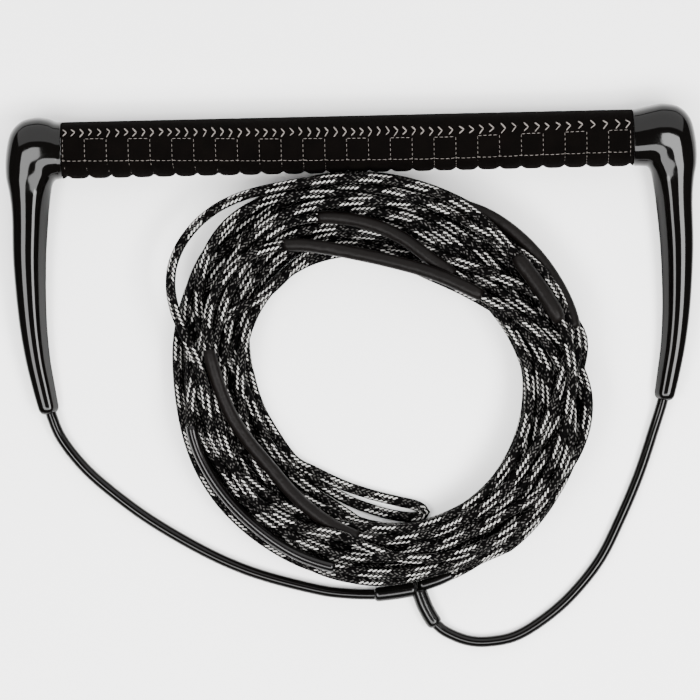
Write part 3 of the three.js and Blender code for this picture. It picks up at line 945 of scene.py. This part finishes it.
def grip_radius(x, degrees):
    """Radius of the stitched cover: a plain strip, then blocks that swell between their seams."""
    d = (degrees - twist(x)) % 360
    across = (x - lean(x, d) - FIRST_SEAM) / PITCH
    from_middle = abs(2 * (across - math.floor(across)) - 1)
    swell = 1 - from_middle ** 4
    depth = look_up(SEAM_DEPTH, d)
    r = GRIP_RADIUS + look_up(BULGE, degrees % 360) - depth + depth * swell
    r -= furrow(d, LONG_SEAM, 0.35, 3.0)
    r -= furrow(d, EDGE_SEAM, 0.5, 2.6)
    return r + COVER_SWELL


def round_grip(x, degrees, radius):
    a = math.radians(degrees)
    return handle_point(x, radius * math.cos(a), radius * math.sin(a))


def grip_point(x, degrees, lift=0.0):
    return round_grip(x, degrees, grip_radius(x, degrees) + lift)


def make_grip():
    columns = BLOCKS * BLOCK_COLUMNS
    first = -GRIP_ENDS[-1] + COVER_INSET
    length = sum(GRIP_ENDS.values()) - 2 * COVER_INSET
    xs = [first + length * i / columns for i in range(columns + 1)]
    turn = [360 * k / GRIP_SIDES for k in range(GRIP_SIDES)]
    rings = [[grip_point(x, degrees) for degrees in turn] for x in xs]
    rims = [[round_grip(x, degrees, RIM_RADIUS) for degrees in turn] for x in (xs[0], xs[-1])]
    rings = [rims[0], *rings, rims[1]]
    faces = [f[::-1] for f in ring_faces(len(rings), GRIP_SIDES)]
    grip = make_object("grip_cover", np.vstack(rings) * MM, faces, SUEDE)
    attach(grip, "handle")
    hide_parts("grip_hide")


# ---- Stitching ----

# A seam's stitches: length, gap and radius.
BLOCK_STITCH = (1.6, 1.2, 0.14)
EDGE_STITCH = (1.9, 0.9, 0.16)
LONG_STITCH = (2.0, 0.9, 0.17)
SEAM_START = 0.3
SEAM_STEP = 0.25
STITCH_SIDES = 6
STITCH_PROFILE = [(0.0, 0.35), (0.15, 0.85), (0.5, 1.0), (0.85, 0.85), (1.0, 0.35)]  # place, width
ARROWS_INSET = (2.6, 2)  # from the cover's left end to the first arrow, and from its right end
ARROW_DEGREES = (40, 49.5, 59.5)  # of each arrow's upper end, point and lower end
ARROW_PLAY = (2, 1.5, 2)  # how far each of them is off, at most
SPARSE_FROM = 45  # from this x on, the arrows are wider and further apart


def stitch(vertices, faces, a, b, radius):
    """Adds one stitch, a short plump thread from a to b."""
    a, b = np.array(a), np.array(b)
    axis = b - a
    size = np.linalg.norm(axis)
    axis /= size
    up = np.cross(axis, (0.3, 0.2, 1))  # any way that no stitch runs in
    up /= np.linalg.norm(up)
    side = np.cross(axis, up)
    base = len(vertices)
    for at, wide in STITCH_PROFILE:
        for k in range(STITCH_SIDES):
            t = 2 * math.pi * k / STITCH_SIDES
            out = math.cos(t) * up + math.sin(t) * side
            vertices.append(a + axis * size * at + radius * wide * out)
    faces += [tuple(base + v for v in f) for f in ring_faces(len(STITCH_PROFILE), STITCH_SIDES)]


def seam(vertices, faces, points, length, gap, radius):
    """Adds stitches along the line through the points."""
    line = resample(np.array(points), SEAM_STEP)
    along = places_of(line)
    at = SEAM_START

    def point(place):
        return np.array([np.interp(place, along, line[:, i]) for i in range(3)])

    while at + length < along[-1]:
        stitch(vertices, faces, point(at), point(at + length), radius)
        at += length + gap


def cover_point(x, degrees, lift):
    """A point lifted off the cover, at an angle that turns with the cover's twist."""
    return grip_point(x, degrees + twist(x), lift)


def stitch_seams(vertices, faces):
    seams = [FIRST_SEAM + n * PITCH for n in range(BLOCKS + 1)]
    for x in seams:
        line = [cover_point(x + lean(x, d), d, 0.12) for d in range(EDGE_SEAM + 1, 190, 3)]
        seam(vertices, faces, line, *BLOCK_STITCH)
    for x in seams[1:-1:2]:
        line = [cover_point(x + PITCH * t / 12, EDGE_SEAM + 1, 0.1) for t in range(13)]
        seam(vertices, faces, line, *EDGE_STITCH)
    for d in (LONG_SEAM, LOW_SEAM):
        line = [cover_point(x, d, 0.05) for x in np.arange(seams[0] - 1, seams[-1] + 1.5, 1.5)]
        seam(vertices, faces, line, *LONG_STITCH)


def stitch_arrows(vertices, faces):
    """The row of arrows on the plain strip, a little uneven."""
    rng = np.random.default_rng(7)
    x = -GRIP_ENDS[-1] + ARROWS_INSET[0]
    while x < GRIP_ENDS[1] - ARROWS_INSET[1]:
        wide = rng.uniform(0.85, 1.15) + (0.25 if x > SPARSE_FROM else 0)
        top, middle, low = (
            degrees + rng.uniform(-play, play) for degrees, play in zip(ARROW_DEGREES, ARROW_PLAY))
        point = cover_point(x + wide, middle, 0.15)
        stitch(vertices, faces, cover_point(x - wide, top, 0.1), point, rng.uniform(0.38, 0.5))
        stitch(vertices, faces, cover_point(x - wide, low, 0.1), point, rng.uniform(0.28, 0.42))
        x += rng.uniform(4.5, 5.1) if x < SPARSE_FROM else rng.uniform(5.2, 6.9)


def make_stitching():
    vertices, faces = [], []
    stitch_seams(vertices, faces)
    stitch_arrows(vertices, faces)
    thread = make_object("grip_stitching", np.array(vertices) * MM, faces, THREAD)
    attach(thread, "handle")


make_grip()
make_stitching()


# ---- Floor and lights, in metres ----

FLOOR_HALF = 3
# Name, place, the point that it faces, size, power.
LIGHTS = [
    ("left_strip", (-0.72, -0.39, 1.25), (0, -0.39, 0), (0.72, 0.54), 25),
    ("right_strip", (0.72, -0.39, 1.25), (0, -0.39, 0), (0.72, 0.54), 38),
    ("front_strip", (0, -0.8, 1.2), (0, -0.2, 0), (1.5, 0.5), 42),
    ("far_panel", (0, 0.875, 0.775), (0, 0, 0), (3.8, 1.7), 66),
]
WORLD_STRENGTH = 0.12


def make_floor():
    points = [(FLOOR_HALF * x, FLOOR_HALF * y, 0) for x, y in ((-1, -1), (1, -1), (1, 1), (-1, 1))]
    floor = make_object("floor", points, [(0, 1, 2, 3)], floor_material(), smooth=False)


def area_light(name, place, target, size, power):
    data = bpy.data.lights.new(name, "AREA")
    data.shape = "RECTANGLE"
    data.size, data.size_y = size
    data.energy = power
    light = bpy.data.objects.new(name, data)
    bpy.context.collection.objects.link(light)
    light.location = place
    light.rotation_euler = (Vector(target) - Vector(place)).to_track_quat("-Z", "Y").to_euler()


def make_world():
    world = bpy.data.worlds.new("studio")
    world.use_nodes = True
    background = world.node_tree.nodes["Background"]
    background.inputs["Color"].default_value = (1, 1, 1, 1)
    background.inputs["Strength"].default_value = WORLD_STRENGTH
    bpy.context.scene.world = world


make_floor()
for light in LIGHTS:
    area_light(*light)
make_world()
